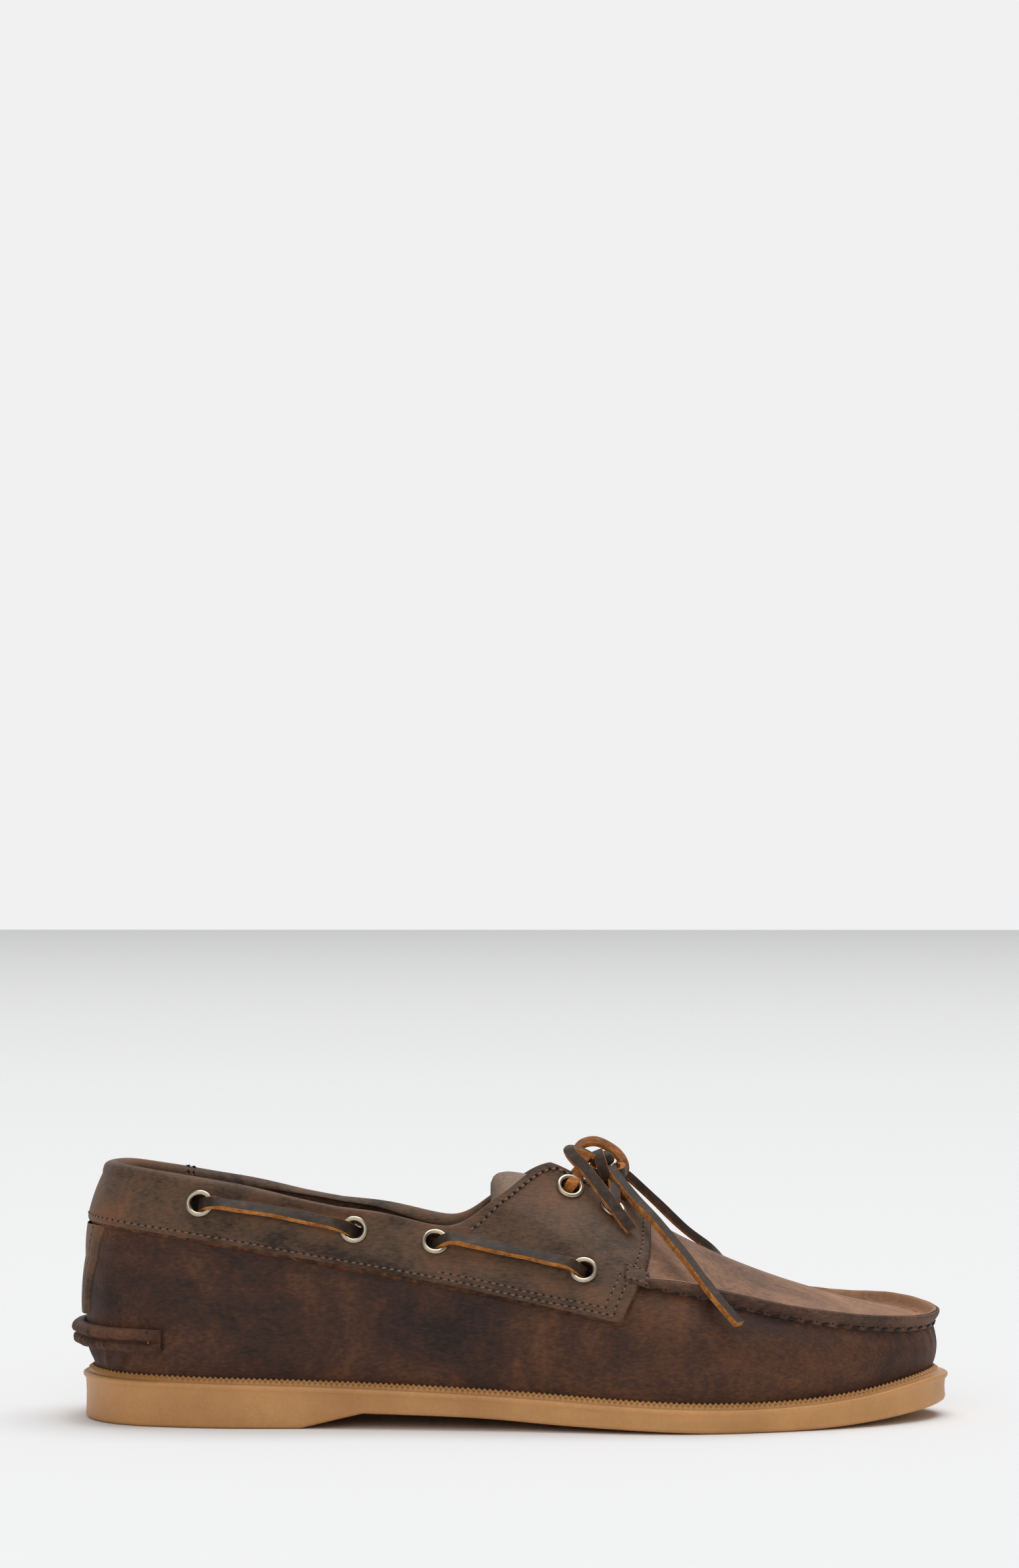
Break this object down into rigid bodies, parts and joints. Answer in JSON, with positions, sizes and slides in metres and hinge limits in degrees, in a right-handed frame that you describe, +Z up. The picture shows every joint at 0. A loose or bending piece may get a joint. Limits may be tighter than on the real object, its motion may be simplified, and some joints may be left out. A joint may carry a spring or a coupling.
{
  "type": "boat shoe",
  "caption": "Right boat shoe: hollow leather upper with a raised moccasin seam, padded collar, rawhide lacing and a gum rubber sole with heel, arch and toe spring.",
  "frame": {"origin": "on the floor under the middle of the shoe's length and width", "axes": "+X towards the toe, +Y towards the inner side of the foot, +Z up, standing on its sole"},
  "size_m": [0.2994, 0.1103, 0.0977],
  "materials": {
    "gum_rubber": "satin",
    "brown_leather": "oiled nubuck",
    "sock_leather": "smooth",
    "nickel": "worn nickel plate",
    "rawhide": "rawhide with orange cut edges"
  },
  "bodies": {
    "root": {"outsole": "gum_rubber", "insole": "sock_leather", "upper": "brown_leather", "side_panel": "brown_leather", "backstay": "brown_leather", "heel_roll": "brown_leather", "moc_seam": "brown_leather", "tongue": "brown_leather", "eyelet_lateral_1": "nickel", "eyelet_lateral_2": "nickel", "eyelet_lateral_3": "nickel", "eyelet_lateral_4": "nickel", "eyelet_lateral_5": "nickel", "eyelet_lateral_6": "nickel", "eyelet_medial_1": "nickel", "eyelet_medial_2": "nickel", "eyelet_medial_3": "nickel", "eyelet_medial_4": "nickel", "eyelet_medial_5": "nickel", "eyelet_medial_6": "nickel", "lace_bar_lateral_rear": "rawhide", "lace_bar_lateral_front": "rawhide", "lace_bar_medial_rear": "rawhide", "lace_bar_medial_front": "rawhide", "lace_crossing": "rawhide", "lace_knot": "rawhide", "lace_end_lateral": "rawhide", "lace_end_medial": "rawhide", "lace_end_short": "rawhide", "lace_loop": "rawhide"}
  },
  "joints": []
}
